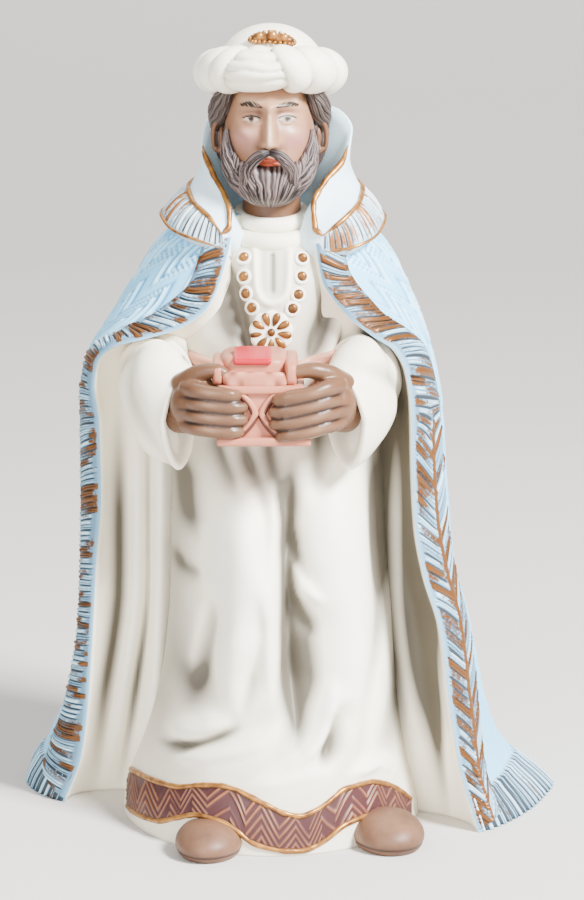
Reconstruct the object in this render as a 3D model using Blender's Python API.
"""A nativity wise man: one painted bisque porcelain casting, standing on its flat underside.

He wears a turban, a pale robe and an open mantle with a fringed border, and holds a casket in
both hands. +X is to the viewer's right, the figure faces -Y and +Z is up. The origin is on the
standing plane, under the middle of the body.
"""

import math

import bmesh
import bpy
import numpy as np

# Height of the whole figure, in metres
HEIGHT = 0.190

# The free forms are shares of the height: one unit is a millimetre when it is 190 mm
UNIT = HEIGHT / 190.0

# Casket, in metres
CASKET_WIDTH = 0.0190
CASKET_DEPTH = 0.0230
CASKET_HEIGHT = 0.0195
CASKET_EDGE = 0.0011

# Borders, in metres: how wide the fringe is, how far it stands proud and how deep it is set
FRINGE_WIDTH = 0.0078
FRINGE_RAISE = 0.0015
BORDER_SINK = 0.0010

# Vertical axis of the body, in units
AXIS_X = -5.5

# Mantle: height, left reach, right reach, back reach, and y where it is widest
MANTLE_LEVELS = np.array((
    (0, -66.4, 63.8, 59, 20),
    (3, -65.4, 60.5, 57, 19),
    (8, -62.6, 54.5, 53, 16),
    (16, -59.2, 49.6, 48, 11),
    (26, -55.6, 46.6, 43.5, 7),
    (45, -51.6, 43.2, 39, 3),
    (62, -50.7, 39.2, 37, 2),
    (84, -50.8, 37.2, 35, 2),
    (100, -50.6, 36, 33, 2),
    (112, -48.6, 33.6, 31, 2),
    (121, -43.2, 30.6, 28.5, 2),
    (130, -37.6, 27, 25.5, 2),
    (138, -32.4, 22.6, 21.5, 2),
    (143, -27, 17.5, 17.5, 2),
    (146, -18, 8, 13, 1),
)).T

# Front edges of the mantle from the neck to the ground, as x, y, z
EDGE_LEFT = (
    (-13, -12, 146), (-14.4, -16, 139.5), (-16.6, -18, 131.5), (-19.5, -19.5, 125.4),
    (-26, -21.5, 121), (-34, -22.3, 118.6), (-41, -20.5, 116.6), (-45.2, -17, 112.4),
    (-46.3, -14, 106), (-45.4, -11.5, 96), (-45.3, -10, 80), (-46.8, -9, 62), (-48.2, -7, 41),
    (-49.6, -5, 25), (-51.6, -2.5, 12), (-56, 0, 0),
)
EDGE_RIGHT = (
    (4.4, -12, 146), (5.6, -16, 139), (6.9, -18, 131.7), (10, -19.5, 126.9), (14.2, -21, 122.5),
    (18.6, -22.5, 119.3), (23.4, -23.5, 116.2), (26.3, -23.8, 111), (27.6, -23.5, 102),
    (28, -23, 88), (28.8, -23, 74), (31, -23, 62), (34.8, -23, 49.5), (37.4, -23, 30),
    (40, -23.5, 15), (44.5, -24, 0),
)
MANTLE_TOP = MANTLE_LEVELS[0][-1]

# Folds of the mantle: place round it (0 left edge, 1 right edge), half width, height, start
MANTLE_FOLDS = (
    (0.20, 0.035, 1.8, 0.45), (0.28, 0.028, -2.0, 0.30), (0.36, 0.036, 2.6, 0.22),
    (0.44, 0.028, -2.6, 0.15), (0.52, 0.035, 2.8, 0.15), (0.60, 0.030, -2.4, 0.20),
    (0.68, 0.036, 2.4, 0.28), (0.77, 0.028, -1.8, 0.40), (0.85, 0.030, 1.4, 0.55),
)

# Robe: height, middle x, half width, front reach
ROBE_LEVELS = np.array((
    (0, -5, 36.4, 41.6), (6, -5, 35.6, 41), (14, -4.5, 33, 39), (26, -3.5, 30, 35.5),
    (40, -2.8, 28, 32.5), (55, -2.5, 27, 31), (75, -2.5, 26.6, 27), (92, -2.5, 26.5, 23.2),
    (104, -3.5, 26, 20.6), (111, -4, 25, 18.8), (118, -4.2, 27, 19.6), (128, -4.5, 25, 18.8),
    (136, -4.7, 19, 16.6), (141, -4.7, 11.6, 13), (144, -4.7, 7.6, 10.4),
)).T
ROBE_TOP = ROBE_LEVELS[0][-1]
ROBE_BACK = 14.0

# Folds of the robe: a line of x, z points in front view, half width, and height (below 0: a groove)
ROBE_FOLDS = (
    (((-26.3, 88), (-25, 78), (-22.6, 71), (-19, 69)), 1.7, -2.5),
    (((-28.2, 77), (-26, 67), (-21, 63.5)), 1.6, -2.2),
    (((-17.7, 97), (-15.5, 90), (-12, 81)), 2.0, -2.0),
    (((-11.7, 97), (-7.5, 84), (-5.6, 72), (-6, 60)), 1.7, -2.2),
    (((-5, 97), (-2.4, 78), (-1.6, 60), (-1.2, 38), (2.4, 27)), 2.5, -4.9),
    (((-1, 74), (1.2, 65.5), (7, 59.5)), 1.5, -2.1),
    (((0.4, 58), (3, 48), (5.4, 37)), 2.4, -2.6),
    (((-13, 80), (-12, 66), (-12.4, 55), (-15, 36)), 4.2, 3.2),
    (((5, 93), (9, 70), (11, 50), (13, 24)), 4.5, 3.0),
    (((-3.9, 80), (-3.6, 62), (-4.4, 44), (-7, 30)), 1.6, 1.3),
    (((-21, 61), (-25.6, 38)), 1.7, -2.0),
    (((-23.5, 45), (-24.6, 32)), 1.8, -1.6),
    (((-8, 56), (-10.4, 40)), 1.6, -2.1),
    (((-30, 26), (-24, 24), (-18, 25.6), (-12.6, 29.4)), 1.5, -3.1),
    (((-29, 21), (-20, 20), (-9, 25), (-3, 33)), 2.6, 2.0),
    (((8.2, 38), (6.5, 30), (2, 22), (-3, 18.5)), 2.2, 2.3),
    (((9.8, 34), (9.2, 27), (7.2, 20)), 1.7, -2.5),
    (((17.4, 90), (18.6, 62), (20, 44), (17.6, 26)), 2.0, -1.7),
    (((13, 16.6), (18.2, 20.6), (25, 16.6)), 1.4, 1.6),
    (((-8, 14.2), (-0.5, 12.6), (7, 14.4)), 1.4, -1.2),
    (((-21.5, 138), (-17, 128), (-13, 117)), 1.6, -1.8),
    (((-15.5, 135), (-12.5, 124), (-9.5, 114)), 1.5, -1.4),
    (((10.5, 134), (8, 123), (3.5, 113)), 1.7, -1.8),
    (((14.5, 128), (13, 120), (9, 113)), 1.7, -1.8),
)

# Width of every fold over the half width in its line
FOLD_WIDTH = 1.15

# Folds of the lining, on both sides of the robe, in the same form
LINING_FOLDS = (
    (((-36.4, 96), (-36.8, 56), (-40.4, 22), (-46, 2)), 2.2, 1.6),
    (((-31.8, 100), (-32.8, 56), (-33.6, 26), (-40, 2)), 2.6, 4.4),
    (((-40.6, 96), (-40.4, 56), (-45.6, 24)), 1.8, -1.0),
    (((25.4, 96), (26.4, 60), (31, 30), (36, 2)), 2.0, 2.6),
    (((28.8, 52), (33, 26), (39, 4)), 1.5, -1.1),
)

# Border of the robe's hem: x, lower edge z, upper edge z
HEM_BORDER = np.array((
    (-39.8, 2.6, 9.4), (-36.5, 3.2, 11.4), (-31.5, 4.2, 12.4), (-27, 6.4, 13), (-21.5, 8.2, 14.7),
    (-16.5, 7.6, 15.4), (-13.3, 6.2, 15), (-9.5, 3.4, 13.6), (-6.3, 2.3, 12.1), (-1, 1.3, 9.8),
    (2, 1.2, 9.2), (5, 1.9, 10), (8, 3.3, 11.4), (12.4, 6, 13.9), (17.2, 6.8, 14.2),
    (22, 5.2, 12.2), (26, 2.4, 8.6), (28.6, 0.9, 5.2),
)).T
HEM_RAISE = 0.55

# Collar from its left front end, round the back, to the right one: inner foot, rim, fold line
# where the fringe starts, and outer edge, each as x, y, z
COLLAR_FOOT = (
    (-10.6, -12.6, 141), (-12.6, -8, 143), (-13.4, 0, 145), (-10, 8, 147), (-4.5, 11, 147.5),
    (1.5, 8, 147), (4, 0, 145), (2.8, -8, 143), (0.8, -12.6, 140.6),
)
COLLAR_RIM = (
    (-14.6, -15.6, 143.6), (-14.5, -14.2, 146.8), (-15.6, -11.6, 150.4), (-18.6, -7.6, 155.6),
    (-21, -1.6, 161.8), (-19.6, 5.5, 167.4), (-13.5, 12.5, 170.2), (-4.5, 15.6, 170.8),
    (3.6, 12.5, 170.6), (10.2, 6.5, 169.6), (13.8, 0.6, 165.2), (12.2, -4.6, 158.8),
    (7.4, -9.4, 153.2), (5, -13, 148.4), (5.4, -15.4, 143.2),
)
COLLAR_FOLD = (
    (-16.4, -16.8, 142.2), (-19.4, -14.4, 145.8), (-23, -9.4, 148.6), (-24.4, -2, 151.2),
    (-22.4, 8, 152.4), (-15, 17, 151.6), (-4.5, 21, 151), (6.5, 17, 151.6), (14.2, 8, 152.2),
    (16.6, -1, 151), (16, -8, 149), (12.6, -13.8, 145.6), (7.4, -16.8, 141.8),
)
COLLAR_EDGE = (
    (-15.6, -16.6, 138.6), (-22, -16, 140.6), (-28.6, -10, 142.8), (-31, -2, 145.4),
    (-28.6, 9, 146), (-19.5, 20, 144.6), (-4.5, 25, 143.6), (11, 20, 144.6), (19.6, 9, 145.6),
    (22, -3, 144.6), (20, -11, 141.4), (13.4, -16.6, 138.8), (7, -16.6, 137.8),
)

# Sleeves from the shoulder to the cuff: x, y, z, half width, half height
SLEEVE_LEFT = (
    (-28, 2, 115, 9.4, 10.6), (-31.4, -7, 111, 9.2, 11.6), (-32, -15, 107.6, 8.8, 12.2),
    (-30.6, -22, 105.2, 8.3, 12.2), (-26.2, -27, 102.4, 7.4, 10.8),
)
SLEEVE_RIGHT = (
    (13, 2, 116, 9.6, 11), (16.4, -7, 112, 9.3, 11.8), (17, -15, 108.2, 9, 12.4),
    (16, -22, 105.8, 8.7, 12.6), (12.4, -27, 102.6, 7.8, 11.2),
)
CUFF_DEPTH = 7.0
CUFF_WALL = 1.3
CUFF_LOBE = 5.0  # how far the cuff's lower edge reaches past its axis

# Casket: middle x, y of its back, sunk in the chest, and z of its foot, in units
CASKET_PLACE = (-6.6, -17.0, 96.8)

# Hands, in units from the casket's ends, front and foot: how far the knuckles lie outside an end
# and behind the front, the palms' middle, and each finger's reach past the end, forefinger first
KNUCKLE_OUT = 8.3
KNUCKLE_BACK = 5.0
PALM_OUT = 5.7
PALM_BACK = 7.5
PALM_RADII = (6.2, 6.8, 6.6)
FINGER_PITCH = 2.8
FINGER_RADIUS = 1.7
THUMB_RADIUS = 2.0
WRIST_RADIUS = 4.6
REACH_LEFT = (3.5, 4.9, 4.9, 4.1)
REACH_RIGHT = (6.3, 7.1, 6.9, 5.5)
DROP_LEFT = 0.4
DROP_RIGHT = 2.0

# Head: middle, half sizes, and the soft forms of the face as x from its middle, z from its middle,
# spread in x, spread in z, and height
HEAD_CENTRE = (-5.2, -3.0, 164.5)
HEAD_RADII = (10.8, 13.4, 15.5)
FACE_FORMS = (
    (4.2, 7.0, 3.8, 1.4, 0.9), (4.2, 4.4, 2.5, 1.7, -1.7), (4.2, 4.2, 1.7, 1.1, 0.9),
    (0, 4.4, 1.3, 3.2, 1.6), (0, -0.6, 1.7, 2.2, 3.0), (1.8, -1.5, 1.0, 1.0, 0.9),
    (6.4, -1.0, 2.6, 2.6, 0.8),
)
NECK_FOOT = (-4.8, -3, 138)
NECK_RADIUS = 7.2
BEARD_CENTRE = (-5.2, -8.6, 156.2)
BEARD_RADII = (10.4, 9.0, 8.6)
LOCKS = 18
HAIR_CENTRE = (-5.0, 1.0, 164.4)
HAIR_RADII = (13.4, 12.2, 13.6)
EAR_X = 12.2

# Turban: middle of the roll, its half sizes along x and y, its own radius, its height over its
# thickness, its back tilt, and the crown with how far it reaches down over how far it stands up
TURBAN_CENTRE = (-5.0, -1.2, 178.6)
TURBAN_REACH = (11.8, 13.0)
TURBAN_ROLL = 6.5
TURBAN_RISE = 0.85
TURBAN_TILT = math.radians(7)
CROWN_RADII = (13.2, 14.2, 12.0)
CROWN_FOOT = 0.35

# Necklace: beads as x, z on the chest, then the flower's middle, petals and radius
BEADS = (
    (-11.1, 136.6), (-11.1, 132.4), (-10.6, 128.6), (-9.2, 125.4),
    (2.3, 136.4), (2.2, 132.4), (1.4, 128.4), (0.1, 125.2),
)
BEAD_RADIUS = 1.15
FLOWER = (-4.8, 119.8)
PETALS = 9
FLOWER_RADIUS = 4.9

# Shoes: middle, half length, half width, half height and turn about the vertical
SHOE_LEFT = (-19.2, -37.2, 2.8, 10.8, 8.0, 5.2, math.radians(-6))
SHOE_RIGHT = (22.6, -32.2, 2.8, 10.8, 8.4, 5.5, math.radians(12))

# Share of the joined surface's faces that is kept, the flattest ones merged first, and the bend
# below which a point along a seam is left out
FACE_SHARE = 0.60
STRAIGHT = math.radians(35)

# Paint: colour, roughness
PAINTS = {
    "bisque": ((0.86, 0.84, 0.79), 0.55),
    "blue": ((0.60, 0.76, 0.86), 0.55),
    "gold": ((0.58, 0.36, 0.16), 0.38),
    "skin": ((0.50, 0.37, 0.29), 0.50),
    "hair": ((0.40, 0.36, 0.36), 0.60),
    "rose": ((0.83, 0.60, 0.54), 0.50),
    "mauve": ((0.52, 0.36, 0.36), 0.55),
    "shoe": ((0.62, 0.51, 0.43), 0.50),
}


def paint(name):
    """The material of one paint, made once."""
    made = bpy.data.materials.get(name)
    if made is None:
        colour, roughness = PAINTS[name]
        made = bpy.data.materials.new(name)
        made.use_nodes = True
        shader = made.node_tree.nodes["Principled BSDF"]
        shader.inputs["Base Color"].default_value = (*colour, 1.0)
        shader.inputs["Roughness"].default_value = roughness
        shader.inputs["Metallic"].default_value = 0.6 if name == "gold" else 0.0
    return made


def smooth(at, marks, values):
    """A smooth curve through the values at the marks that never overshoots them."""
    marks, values = np.asarray(marks, float), np.asarray(values, float)
    gaps = np.diff(marks)
    slopes = np.diff(values) / gaps
    tangents = np.concatenate([slopes[:1], np.zeros(len(slopes) - 1), slopes[-1:]])
    turning = slopes[:-1] * slopes[1:] > 0
    near, far = 2 * gaps[1:] + gaps[:-1], gaps[1:] + 2 * gaps[:-1]
    safe = np.where(turning[:, None], np.stack([slopes[:-1], slopes[1:]], -1), 1.0)
    mean = (near + far) / (near / safe[:, 0] + far / safe[:, 1])
    tangents[1:-1] = np.where(turning, mean, 0.0)
    at = np.clip(at, marks[0], marks[-1])
    i = np.clip(np.searchsorted(marks, at) - 1, 0, len(gaps) - 1)
    s = (at - marks[i]) / gaps[i]
    rise = values[i] * (1 - s) ** 2 * (1 + 2 * s) + values[i + 1] * s**2 * (3 - 2 * s)
    return rise + gaps[i] * (tangents[i] * s * (1 - s) ** 2 - tangents[i + 1] * s**2 * (1 - s))


def rail(points, share):
    """The point at a share of the length of a smooth line through the points."""
    points = np.asarray(points, float)
    steps = np.linalg.norm(np.diff(points, axis=0), axis=1)
    marks = np.concatenate([[0.0], np.cumsum(steps)]) / steps.sum()
    return np.stack([smooth(share, marks, column) for column in points.T], -1)


def ramp(x):
    """A soft step from 0 to 1."""
    x = np.clip(x, 0.0, 1.0)
    return x * x * (3 - 2 * x)


def folds(x, z, lines):
    """Height of the folds at x, z: each line's soft ridge or groove, added up."""
    height = np.zeros(np.broadcast(x, z).shape)
    for line, half_width, rise in lines:
        nearest = np.full(height.shape, np.inf)
        for (xa, za), (xb, zb) in zip(line[:-1], line[1:]):
            run = (xb - xa) ** 2 + (zb - za) ** 2
            s = np.clip(((x - xa) * (xb - xa) + (z - za) * (zb - za)) / run, 0, 1)
            nearest = np.minimum(nearest, (x - xa - s * (xb - xa)) ** 2
                                 + ((z - za - s * (zb - za)) * 0.6) ** 2)
        height += rise * np.exp(-nearest / (half_width * FOLD_WIDTH) ** 2)
    return height


def solid(name, points, faces, colour):
    """A closed mesh object from points in units, its faces turned outwards."""
    mesh = bpy.data.meshes.new(name)
    mesh.from_pydata((np.asarray(points) * UNIT).tolist(), [], faces)
    work = bmesh.new()
    work.from_mesh(mesh)
    bmesh.ops.recalc_face_normals(work, faces=work.faces)
    work.to_mesh(mesh)
    work.free()
    mesh.materials.append(paint(colour))
    made = bpy.data.objects.new(name, mesh)
    made.data.shade_smooth()
    made.data.set_sharp_from_angle(angle=math.radians(35))
    return made


def loft(name, sections, colour):
    """A solid through rings of points, one row to a ring, closed by a flat face at each end."""
    rows, columns = sections.shape[:2]
    faces = []
    for i in range(rows - 1):
        for j in range(columns):
            a, b = i * columns + j, i * columns + (j + 1) % columns
            faces.append((a, b, b + columns, a + columns))
    faces.append(tuple(range(columns)))
    faces.append(tuple(range((rows - 1) * columns, rows * columns)))
    return solid(name, sections.reshape(-1, 3), faces, colour)


def mantle(t, u):
    """The mantle's outer face: t runs from the neck to the hem, u from its left edge round the
    back to its right edge."""
    t, u = np.broadcast_arrays(np.asarray(t, float), np.asarray(u, float))
    heights = MANTLE_LEVELS[0]
    left, right = rail(EDGE_LEFT, t), rail(EDGE_RIGHT, t)
    z_back = MANTLE_TOP * (1 - t)
    z = np.where(u < 0.5, left[..., 2], right[..., 2])
    z = z + (z_back - z) * ramp(np.minimum(u, 1 - u) / 0.35)

    def quarter(edge, column):
        """Angle from the front and forward reach of the quarter that meets this edge."""
        reach = abs(smooth(edge[..., 2], heights, MANTLE_LEVELS[column]) - AXIS_X)
        angle = np.arcsin(np.clip(abs(edge[..., 0] - AXIS_X) / reach, 0, 0.97))
        widest = smooth(edge[..., 2], heights, MANTLE_LEVELS[4])
        return angle, (widest - edge[..., 1]) / np.cos(angle)

    angle_left, forward_left = quarter(left, 1)
    angle_right, forward_right = quarter(right, 2)
    angle = angle_left + (2 * math.pi - angle_right - angle_left) * u
    sine, cosine = np.sin(angle), np.cos(angle)
    reach_left = AXIS_X - smooth(z, heights, MANTLE_LEVELS[1])
    reach_right = smooth(z, heights, MANTLE_LEVELS[2]) - AXIS_X
    widest = smooth(z, heights, MANTLE_LEVELS[4])
    back = smooth(z, heights, MANTLE_LEVELS[3]) - widest
    forward = np.where(u < 0.5, forward_left, forward_right)
    across = np.where(sine > 0, reach_left, reach_right)
    along = np.where(cosine > 0, forward, back)
    swell = sum(rise * np.exp(-(((u - place) / half) ** 2)) * ramp((t - start) / 0.5)
                for place, half, rise, start in MANTLE_FOLDS)
    x = AXIS_X - (across + swell) * sine
    y = widest - (along + swell) * cosine
    return np.stack([x, y, z], -1)


def lining(t, v):
    """The mantle's inner face: v runs from the right front edge to the left one."""
    t, v = np.broadcast_arrays(np.asarray(t, float), np.asarray(v, float))
    left, right = rail(EDGE_LEFT, t), rail(EDGE_RIGHT, t)
    point = right + (left - right) * v[..., None]
    hollow = 3 + 8.5 * ramp((t - 0.12) / 0.3)
    point[..., 1] += hollow * np.clip(1 - (2 * v - 1) ** 8, 0, 1) ** 0.5 + 5 * np.sin(math.pi * v)
    point[..., 1] -= folds(point[..., 0], point[..., 2], LINING_FOLDS) * ramp(6 * v) * ramp(6 - 6 * v)
    return point


def robe(turn, z):
    """The robe's front: turn is the angle from straight ahead, positive to the right."""
    turn, z = np.broadcast_arrays(np.asarray(turn, float), np.asarray(z, float))
    middle, half, front = (smooth(z, ROBE_LEVELS[0], ROBE_LEVELS[k]) for k in (1, 2, 3))
    x, y = middle + half * np.sin(turn), -front * np.cos(turn)
    out = np.stack([np.sin(turn) * front, -np.cos(turn) * half], -1)
    out /= np.linalg.norm(out, axis=-1, keepdims=True)
    height = folds(x, z, ROBE_FOLDS)
    return np.stack([x + out[..., 0] * height, y + out[..., 1] * height, z], -1)


def robe_turn(x, z):
    """The angle at which the robe's front reaches x."""
    middle, half = (smooth(z, ROBE_LEVELS[0], ROBE_LEVELS[k]) for k in (1, 2))
    return np.arcsin(np.clip((x - middle) / half, -0.995, 0.995))


def normals(surface, a, b, inside):
    """Unit normals of a surface of two parameters, pointing away from the inside point."""
    step = 1e-3
    down = surface(a + step, b) - surface(a - step, b)
    across = surface(a, b + step) - surface(a, b - step)
    normal = np.cross(down, across)
    normal /= np.linalg.norm(normal, axis=-1, keepdims=True) + 1e-12
    outward = np.sum(normal * (surface(a, b) - np.asarray(inside)), -1, keepdims=True)
    return normal * np.where(outward < 0, -1.0, 1.0)


def strip(name, points, normal, raised, colour, sink=BORDER_SINK / UNIT):
    """A band laid on a surface: each row of points is raised along the normals, and its foot is
    set below the surface, drawn in from its sides."""
    top = points + normal * raised[..., None]
    below = points - normal * sink
    foot = below[:, [-1, 0]] * 0.6 + below[:, [-2, 1]] * 0.4
    return loft(name, np.concatenate([top, foot], axis=1), colour)


def mantle_fringe(name, side, strokes):
    """The raised, grooved border along one front edge of the mantle."""
    t = np.linspace(0.045, 0.992, 2 * strokes + 1)[:, None]
    width = FRINGE_WIDTH / UNIT
    across = np.array([0.07, 0.45, 1.0])[None, :]
    unit_step = 0.01
    near, far = (0.0, unit_step) if side == "left" else (1.0, 1 - unit_step)
    speed = np.linalg.norm(mantle(t, far) - mantle(t, near), axis=-1) / unit_step
    run = across * width / speed
    u = run if side == "left" else 1 - run
    slant = 0.010 * across
    t = np.clip(t + slant, 0, 0.999)
    points, normal = mantle(t, u), normals(mantle, t, u, (AXIS_X, 2, 60))
    ridge = np.where(np.arange(len(t)) % 2 == 0, 1.0, 0.2)[:, None]
    profile = np.array([0.7, 1.0, 0.3])[None, :]
    return strip(name, points, normal, FRINGE_RAISE / UNIT * ridge * profile, "gold")


def hem_fringe(strokes):
    """The same border along the mantle's hem, standing on the ground."""
    u = np.linspace(0.012, 0.988, 2 * strokes + 1)[:, None]
    rows = np.array([1.0, 0.972, 0.945])[None, :]
    t, u = np.broadcast_arrays(rows, u)
    points, normal = mantle(t, u), normals(mantle, np.minimum(t, 0.998), u, (AXIS_X, 10, 20))
    normal = normal * np.where(rows == 1.0, 0.0, 1.0)[..., None]
    ridge = np.where(np.arange(len(u)) % 2 == 0, 1.0, 0.3)[:, None]
    profile = np.array([0.0, 1.0, 0.5])[None, :]
    top = points + normal * (FRINGE_RAISE / UNIT * ridge * profile)[..., None]
    flare = np.where(rows == 1.0, 1.0, 0.0) * ridge * FRINGE_RAISE / UNIT
    away = points[:, 0, :2] - np.array([AXIS_X, 10.0])
    away /= np.linalg.norm(away, axis=-1, keepdims=True)
    top[:, 0, :2] += away * flare[:, :1]
    foot = (points - normals(mantle, np.minimum(t, 0.998), u, (AXIS_X, 10, 20)) * 2.5)[:, [-1, 0]]
    foot[:, 1] = points[:, 0]
    foot[:, 1, :2] -= away * 4.0
    top[:, 0, 2], foot[:, 1, 2] = 0.0, 0.0
    return loft("hem_fringe", np.concatenate([top, foot], axis=1), "gold")


def mantle_body():
    """The mantle with its lining, as one solid."""
    t = np.concatenate([np.linspace(0, 0.3, 9)[:-1], np.linspace(0.3, 0.9, 10)[:-1],
                        np.linspace(0.9, 1, 4)])[:, None]
    u, v = np.linspace(0, 1, 31)[None, :], np.linspace(0, 1, 13)[None, 1:-1]
    sections = np.concatenate([mantle(t, u), lining(t, v)], axis=1)
    sections[0, :, 2], sections[-1, :, 2] = MANTLE_TOP, 0.0
    made = loft("mantle", sections, "blue")
    made.data.materials.append(paint("bisque"))
    columns = sections.shape[1]
    for number, panel in enumerate(made.data.polygons):
        panel.material_index = int(number % columns >= u.size - 1)
    return made


def robe_body():
    """The robe from hem to neck; its plain back lies inside the mantle."""
    z = np.concatenate([np.linspace(0, 96, 31), np.linspace(104, ROBE_TOP, 9)])[:, None]
    turn = np.radians(np.linspace(-90, 90, 37))[None, :]
    front = robe(turn, z)
    back = front[:, [-1, 0]].copy()
    back[..., 1] = ROBE_BACK
    back[..., 0] *= 0.9
    return loft("robe", np.concatenate([front, back], axis=1), "bisque")


def hem_border():
    """The coloured band round the robe's hem."""
    share = np.linspace(0, 1, 29)
    x = HEM_BORDER[0][0] + share * (HEM_BORDER[0][-1] - HEM_BORDER[0][0])
    low, high = (smooth(x, HEM_BORDER[0], HEM_BORDER[k]) for k in (1, 2))
    rows = np.array([0.0, 0.12, 0.5, 0.88, 1.0])[None, :]
    z = low[:, None] + (high - low)[:, None] * rows
    turn = robe_turn(x[:, None], z)
    points = robe(turn, z)
    normal = normals(robe, turn, z, (AXIS_X, 0, 8))
    raised = np.broadcast_to(np.array([0.3, 1.0, 0.8, 1.0, 0.3])[None, :] * HEM_RAISE, z.shape)
    return strip("hem_border", points, normal, raised, "mauve")


def sash():
    """The sash round the waist, hanging lower in the middle."""
    x = np.linspace(-24, 19, 19)
    drop = 114.6 - 4.2 * (1 - ((x - AXIS_X + 3) / 20) ** 2)
    rows = np.array([-1.4, -0.5, 0.5, 1.4])[None, :]
    z = drop[:, None] + rows
    turn = robe_turn(x[:, None], z)
    raised = np.broadcast_to(np.array([0.2, 0.9, 0.9, 0.2])[None, :], z.shape)
    return strip("sash", robe(turn, z), normals(robe, turn, z, (AXIS_X, 0, 112)), raised, "rose")


def collar():
    """The standing collar, whose outer face lies over the shoulders and ends in a fringe."""
    s = np.linspace(0, 1, 37)
    foot, rim, fold, edge = (rail(line, s) for line in
                             (COLLAR_FOOT, COLLAR_RIM, COLLAR_FOLD, COLLAR_EDGE))
    hollow = (foot * 0.5 + rim * 0.5) + (rim - fold) * np.array([0.12, 0.12, 0.0])
    ridge = np.where(np.arange(len(s)) % 2 == 0, 1.0, 0.2)[:, None]
    lift = np.array([0.0, 0.0, 1.0]) * ridge * FRINGE_RAISE / UNIT
    inward = np.array([-4.5, 2.0, 0.0]) - edge
    inward[:, 2] = 0
    under_edge = edge + inward * 0.2 + np.array([0, 0, -4.0])
    under_foot = foot + np.array([0, 0, -4.0])
    outer = rim + (rim - foot) * np.array([0.05, 0.05, 0.0])
    waist = outer * 0.55 + fold * 0.45 + (foot - fold) * np.array([0.10, 0.10, 0.0])
    middle = fold * 0.45 + edge * 0.55 + lift
    sections = np.stack([under_foot, foot, hollow, rim, outer, waist, fold,
                         middle, edge + lift * 0.6, under_edge], axis=1)
    return loft("collar", sections, "blue")


def frames(path):
    """Unit vectors across and upwards for each point of a path."""
    along = np.gradient(path, axis=0)
    along /= np.linalg.norm(along, axis=1, keepdims=True)
    across = np.cross(along, (0.0, 0.0, 1.0))
    across /= np.linalg.norm(across, axis=1, keepdims=True)
    return along, across, np.cross(across, along)


def sleeve(name, stations):
    """A wide sleeve, hollow at the cuff."""
    rows = rail(stations, np.linspace(0, 1, 9))
    path, half_width, half_height = rows[:, :3], rows[:, 3:4], rows[:, 4:5]
    along, across, upward = frames(path)
    angle = np.linspace(0, 2 * math.pi, 16, endpoint=False)
    round_x, round_z = np.cos(angle)[None, :, None], np.sin(angle)[None, :, None]
    sag = 1 + 0.12 * (round_z < 0) * abs(round_z)
    hang = ramp(np.linspace(-0.5, 1, len(path)))

    def ring(rows_at, shift, inset):
        lobe = shift + CUFF_LOBE * np.clip(-round_z, 0, 1) * hang[rows_at, None, None]
        centre = path[rows_at][:, None] + along[rows_at][:, None] * lobe
        wide, tall = (half_width[rows_at] - inset)[:, None], (half_height[rows_at] - inset)[:, None]
        return (centre + across[rows_at][:, None] * round_x * wide
                + upward[rows_at][:, None] * round_z * tall * sag)

    last = slice(-1, None)
    outer = ring(slice(None), 0.0, 0.0)
    rim = ring(last, 0.4, CUFF_WALL / 2)
    mouth = ring(last, 0.0, CUFF_WALL)
    bottom = ring(last, -CUFF_DEPTH, CUFF_WALL * 1.6)
    return loft(name, np.concatenate([outer, rim, mouth, bottom]), "bisque")


def ball(name, centre, radii, colour, segments=16, rings=10, shape=None):
    """A sphere primitive scaled to its radii, shaped by a function of its unit points."""
    work = bmesh.new()
    bmesh.ops.create_uvsphere(work, u_segments=segments, v_segments=rings, radius=1.0)
    unit = np.array([v.co for v in work.verts])
    points = unit * np.asarray(radii)
    if shape is not None:
        points = shape(unit, points)
    faces = [[v.index for v in face.verts] for face in work.faces]
    work.free()
    return solid(name, points + np.asarray(centre), faces, colour)


def face(unit, points):
    """The head's ball with a brow, eyes, a nose and cheeks."""
    forward = ramp((-unit[:, 1] - 0.25) / 0.35)
    for x, z, spread_x, spread_z, rise in FACE_FORMS:
        for sign in ((1, -1) if x else (1,)):
            near = ((points[:, 0] - sign * x) / spread_x) ** 2 + ((points[:, 2] - z) / spread_z) ** 2
            points[:, 1] -= rise * np.exp(-near) * forward
    return points


def beard(unit, points):
    """A full beard: upright locks that draw together under the chin."""
    angle = np.arctan2(unit[:, 0], -unit[:, 1])
    locks = np.cos(LOCKS * angle) * np.clip(1 - unit[:, 2] ** 2, 0, 1)
    points = points * (1 + 0.035 * locks)[:, None]
    narrow = 1 - 0.30 * ramp(-unit[:, 2])
    points[:, 0] *= narrow
    points[:, 1] -= 2.2 * ramp(-unit[:, 2]) * ramp(-unit[:, 1])
    return points


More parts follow.
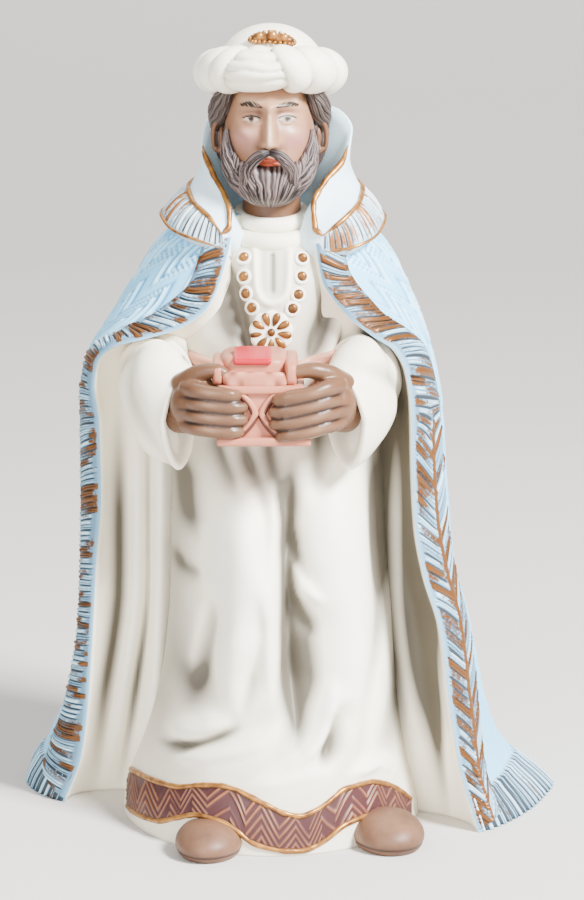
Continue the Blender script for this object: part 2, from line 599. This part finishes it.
def turban_roll():
    """The wound roll: pleats that fan out from a crossing at the front."""
    round_it = np.linspace(0, 2 * math.pi, 40, endpoint=False)[:, None]
    round_roll = np.linspace(0, 2 * math.pi, 10, endpoint=False)[None, :]
    pleats = 0.55 * np.cos(9 * round_it + 2.2 * np.sin(round_roll)) * np.cos(round_roll / 2) ** 2
    radius = TURBAN_ROLL + pleats
    reach_x = TURBAN_REACH[0] + radius * np.cos(round_roll)
    reach_y = TURBAN_REACH[1] + radius * np.cos(round_roll)
    x, y = reach_x * np.sin(round_it), -reach_y * np.cos(round_it)
    z = radius * TURBAN_RISE * np.sin(round_roll)
    tilted = np.stack([x, y * math.cos(TURBAN_TILT) + z * math.sin(TURBAN_TILT),
                       z * math.cos(TURBAN_TILT) - y * math.sin(TURBAN_TILT)], -1)
    rows = np.concatenate([tilted, tilted[:1]]) + np.asarray(TURBAN_CENTRE)
    count, around = rows.shape[0] - 1, rows.shape[1]
    faces = [(i * around + j, i * around + (j + 1) % around,
              (i + 1) % count * around + (j + 1) % around, (i + 1) % count * around + j)
             for i in range(count) for j in range(around)]
    return solid("turban_roll", rows[:-1].reshape(-1, 3), faces, "bisque")


def tube(name, points, radius, colour, ends=(0.9, 0.55)):
    """A finger, lock or cord: a curve with a round bevel, tapered at its ends, made a mesh."""
    curve = bpy.data.curves.new(name, "CURVE")
    curve.dimensions, curve.use_fill_caps = "3D", True
    curve.bevel_depth, curve.bevel_resolution, curve.resolution_u = radius * UNIT, 1, 2
    spline = curve.splines.new("POLY")
    path = rail(points, np.array([0.0, 0.25, 0.5, 0.75, 0.93, 1.0]))
    spline.points.add(len(path) - 1)
    widths = (ends[0], 1.0, 1.0, 0.98, 0.8, ends[1])
    for point, place, width in zip(spline.points, path, widths):
        point.co, point.radius = (*(place * UNIT), 1.0), width
    drawn = bpy.data.objects.new(name, curve)
    bpy.context.scene.collection.objects.link(drawn)
    graph = bpy.context.evaluated_depsgraph_get()
    mesh = bpy.data.meshes.new_from_object(drawn.evaluated_get(graph))
    made = bpy.data.objects.new(name, mesh)
    made.matrix_world = drawn.matrix_world
    bpy.data.objects.remove(drawn)
    work = bmesh.new()
    work.from_mesh(mesh)
    bmesh.ops.remove_doubles(work, verts=work.verts, dist=1e-5)
    bmesh.ops.recalc_face_normals(work, faces=work.faces)
    work.to_mesh(mesh)
    work.free()
    mesh.materials.clear()
    mesh.materials.append(paint(colour))
    return made


def hand(name, side, cuff, reaches, drop):
    """A wrist out of the cuff, a palm at the casket's end, four fingers that wrap its front and a
    thumb on its lid; side is -1 at the left end and 1 at the right one."""
    middle, back, foot = CASKET_PLACE
    end = middle + side * CASKET_WIDTH / UNIT / 2
    front = back - CASKET_DEPTH / UNIT
    tall = CASKET_HEIGHT / UNIT
    palm = (end + side * PALM_OUT, front + PALM_BACK, foot + 0.42 * tall)
    wrist = (rail(cuff, 0.8)[:3], rail(cuff, 1.0)[:3], palm)
    made = [ball(f"palm_{name}", palm, PALM_RADII, "skin", 12, 8),
            tube(f"wrist_{name}", wrist, WRIST_RADIUS, "skin", (1.0, 1.0))]
    for number, reach in enumerate(reaches):
        z = foot + 0.6 * tall - FINGER_PITCH * number
        line = ((end + side * KNUCKLE_OUT, front + KNUCKLE_BACK, z + drop / 2),
                (end + side * FINGER_RADIUS, front - 0.2, z),
                (end - side * reach, front - 0.3, z - drop / 2))
        made.append(tube(f"finger_{name}_{number}", line, FINGER_RADIUS, "skin"))
    lid = foot + 0.84 * tall
    thumb = ((end + side * 9, front + 8, lid - 3.6), (end + side * 3.7, front + 4.4, lid),
             (end - side * (reaches[0] - 3), front + 3.2, lid + 0.3))
    made.append(tube(f"thumb_{name}", thumb, THUMB_RADIUS, "skin"))
    return made


def block(name, centre, size, bevel, colour, taper=1.0):
    """A box with bevelled edges; taper narrows its top. Centre and size are in metres."""
    work = bmesh.new()
    bmesh.ops.create_cube(work, size=1.0)
    for vertex in work.verts:
        share = taper if vertex.co.z > 0 else 1.0
        vertex.co.x *= size[0] * share
        vertex.co.y *= size[1] * share
        vertex.co.z *= size[2]
    bmesh.ops.bevel(work, geom=work.edges[:], offset=bevel, segments=1, affect="EDGES")
    bmesh.ops.translate(work, verts=work.verts, vec=centre)
    mesh = bpy.data.meshes.new(name)
    work.to_mesh(mesh)
    work.free()
    mesh.materials.append(paint(colour))
    return bpy.data.objects.new(name, mesh)


def casket():
    """The gift: a foot plate, a body with two bowed bands, a moulding and a domed lid."""
    x, y, z = (value * UNIT for value in CASKET_PLACE)
    y -= CASKET_DEPTH / 2
    foot_height, body_height = CASKET_HEIGHT * 0.12, CASKET_HEIGHT * 0.55
    lid_height = CASKET_HEIGHT - foot_height - body_height
    overlap = CASKET_EDGE / 2
    body_width, body_depth = CASKET_WIDTH - 2 * CASKET_EDGE, CASKET_DEPTH - 2 * CASKET_EDGE
    made = [
        block("casket_foot", (x, y, z + foot_height / 2),
              (CASKET_WIDTH + 2 * CASKET_EDGE, CASKET_DEPTH + CASKET_EDGE, foot_height), 0.0005, "rose"),
        block("casket_body", (x, y, z + foot_height + body_height / 2),
              (body_width, body_depth, body_height + 2 * overlap), 0.0004, "rose"),
        block("casket_moulding", (x, y, z + foot_height + body_height),
              (CASKET_WIDTH, CASKET_DEPTH, foot_height * 0.8), 0.0005, "rose"),
        block("casket_lid", (x, y, z + foot_height + body_height + lid_height / 2),
              (CASKET_WIDTH, CASKET_DEPTH, lid_height), 0.0012, "rose", taper=0.72),
    ]
    front = y - body_depth / 2 - CASKET_EDGE / 5
    low, high = z + foot_height, z + foot_height + body_height
    for side in (-1, 1):
        line = [(x + side * reach, front, low + (high - low) * share)
                for share, reach in ((0.0, 0.0042), (0.5, 0.0007), (1.0, 0.0042))]
        made.append(tube(f"casket_band_{side}", np.array(line) / UNIT, 0.7, "rose", (1.0, 1.0)))
    return made


def stud(name, x, z, radius, colour="gold", flat=0.6, turn=0.0, stretch=1.0):
    """A flattened ball set on the robe's chest at x, z."""
    angle = robe_turn(np.array([x]), np.array([z]))
    place = robe(angle, np.array([z]))[0]

    def shape(unit, points):
        wide, tall = points[:, 0] * stretch, points[:, 2]
        points[:, 0] = wide * math.cos(turn) - tall * math.sin(turn)
        points[:, 2] = wide * math.sin(turn) + tall * math.cos(turn)
        return points

    return ball(name, place, (radius, radius * flat, radius), colour, 6, 4, shape)


def necklace():
    """Two rows of beads and a flower of petals round a boss."""
    made = [stud(f"bead_{number}", x, z, BEAD_RADIUS) for number, (x, z) in enumerate(BEADS)]
    made.append(stud("flower_boss", *FLOWER, 1.0))
    for number in range(PETALS):
        angle = 2 * math.pi * (number + 0.5) / PETALS + math.pi / 2
        x = FLOWER[0] + math.cos(angle) * FLOWER_RADIUS * 0.62
        z = FLOWER[1] + math.sin(angle) * FLOWER_RADIUS * 0.62
        made.append(stud(f"petal_{number}", x, z, 0.85, turn=angle, stretch=2.0))
    return made


def shoe(name, place):
    """A rounded shoe, flat underneath."""
    x, y, z, length, width, height, turn = place

    def shape(unit, points):
        points[:, 2] = np.maximum(points[:, 2], -z)
        along, side = points[:, 1].copy(), points[:, 0].copy()
        points[:, 0] = side * math.cos(turn) - along * math.sin(turn)
        points[:, 1] = side * math.sin(turn) + along * math.cos(turn)
        return points

    made = ball(name, (x, y, z), (width, length, height), "shoe", 16, 10, shape)
    return made


def head():
    """Face, hair, ears, beard and moustache."""
    made = [
        ball("head", HEAD_CENTRE, HEAD_RADII, "skin", 24, 18, face),
        ball("hair", HAIR_CENTRE, HAIR_RADII, "hair", 16, 12),
        ball("beard", BEARD_CENTRE, BEARD_RADII, "hair", 36, 8, beard),
        loft_neck(),
    ]
    for side in (-1, 1):
        x, y, z = HEAD_CENTRE
        made.append(ball(f"ear_{side}", (x + side * EAR_X, y - 1.5, z - 0.5), (1.5, 2.4, 3.6),
                         "skin", 8, 6))
        moustache = ((x, y - 15.6, z - 4), (x + side * 3.6, y - 14.6, z - 5.4),
                     (x + side * 6.2, y - 11.4, z - 10))
        made.append(tube(f"moustache_{side}", moustache, 1.5, "hair", (0.7, 0.3)))
    return made


def loft_neck():
    """The neck, from inside the robe into the head."""
    angle = np.linspace(0, 2 * math.pi, 16, endpoint=False)
    rows = []
    for z in (NECK_FOOT[2], NECK_FOOT[2] + 9, HEAD_CENTRE[2] - 5):
        rows.append(np.stack([NECK_FOOT[0] + NECK_RADIUS * np.cos(angle),
                              NECK_FOOT[1] + NECK_RADIUS * np.sin(angle),
                              np.full(len(angle), float(z))], -1))
    return loft("neck", np.array(rows), "skin")


def neckband():
    """The rolled band at the robe's neck."""
    angle = np.linspace(-0.62 * math.pi, 0.62 * math.pi, 19)
    path = np.stack([NECK_FOOT[0] + 8.8 * np.sin(angle), -2.8 - 10.6 * np.cos(angle),
                     143 - 1.6 * np.cos(angle)], -1)
    return tube("neckband", path, 2.2, "bisque", (1.0, 1.0))


def turban():
    """The roll, the crown above it and a spray of beads on the crown."""
    x, y, z = TURBAN_CENTRE

    def flatter_below(unit, points):
        points[:, 2] *= np.where(unit[:, 2] < 0, CROWN_FOOT, 1.0)
        return points

    made = [turban_roll(), ball("turban_crown", (x, y + 1.5, z - 0.6), CROWN_RADII, "bisque",
                                18, 10, flatter_below)]
    for number in range(4):
        bead = (x - 3.2 + number * 2.5, y - 8.2 + 0.35 * abs(number - 1.5), z + 8.3)
        made.append(ball(f"turban_bead_{number}", bead, (1.5, 1.4, 1.4), "gold", 6, 4))
    return made


def clear_scene():
    """Removes every object of the scene that the script starts in."""
    for old in list(bpy.data.objects):
        bpy.data.objects.remove(old)


def join(core, others):
    """One closed mesh object from the core and every form of the collection."""
    for name in PAINTS:
        if name not in core.data.materials:
            core.data.materials.append(paint(name))
    bpy.context.scene.collection.objects.link(core)
    union = core.modifiers.new("join the forms", "BOOLEAN")
    union.operation, union.solver = "UNION", "EXACT"
    union.operand_type, union.collection = "COLLECTION", others
    union.material_mode = "TRANSFER"
    graph = bpy.context.evaluated_depsgraph_get()
    mesh = bpy.data.meshes.new_from_object(core.evaluated_get(graph))
    bpy.data.objects.remove(core)
    work = bmesh.new()
    work.from_mesh(mesh)
    loose = [v for v in work.verts if len(v.link_edges) == 2]
    straight = [v for v in loose if v.calc_edge_angle() < STRAIGHT]
    bmesh.ops.dissolve_verts(work, verts=straight)
    bmesh.ops.triangulate(work, faces=work.faces, ngon_method="BEAUTY")
    work.to_mesh(mesh)
    work.free()
    return bpy.data.objects.new(mesh.name, mesh)


def main():
    """Makes the forms and joins them into one casting."""
    clear_scene()
    scene = bpy.context.scene
    shown = bpy.data.collections.new("wise_man_figurine")
    helpers = bpy.data.collections.new("forms to join")
    scene.collection.children.link(shown)
    scene.collection.children.link(helpers)

    forms = [mantle_body(), mantle_fringe("fringe_left", "left", 30),
             mantle_fringe("fringe_right", "right", 30), hem_fringe(40), collar(),
             hem_border(), sash(), neckband(), sleeve("sleeve_left", SLEEVE_LEFT),
             sleeve("sleeve_right", SLEEVE_RIGHT),
             *hand("left", -1, SLEEVE_LEFT, REACH_LEFT, DROP_LEFT),
             *hand("right", 1, SLEEVE_RIGHT, REACH_RIGHT, DROP_RIGHT), *casket(), *head(),
             *turban(), *necklace(), shoe("shoe_left", SHOE_LEFT), shoe("shoe_right", SHOE_RIGHT)]
    for form in forms:
        helpers.objects.link(form)
        form.hide_render, form.display_type = True, "WIRE"

    figurine = join(robe_body(), helpers)
    figurine.name = "wise_man_figurine"
    shown.objects.link(figurine)
    lighter = figurine.modifiers.new("merge small faces", "DECIMATE")
    lighter.ratio = FACE_SHARE
    helpers.hide_render = True


main()
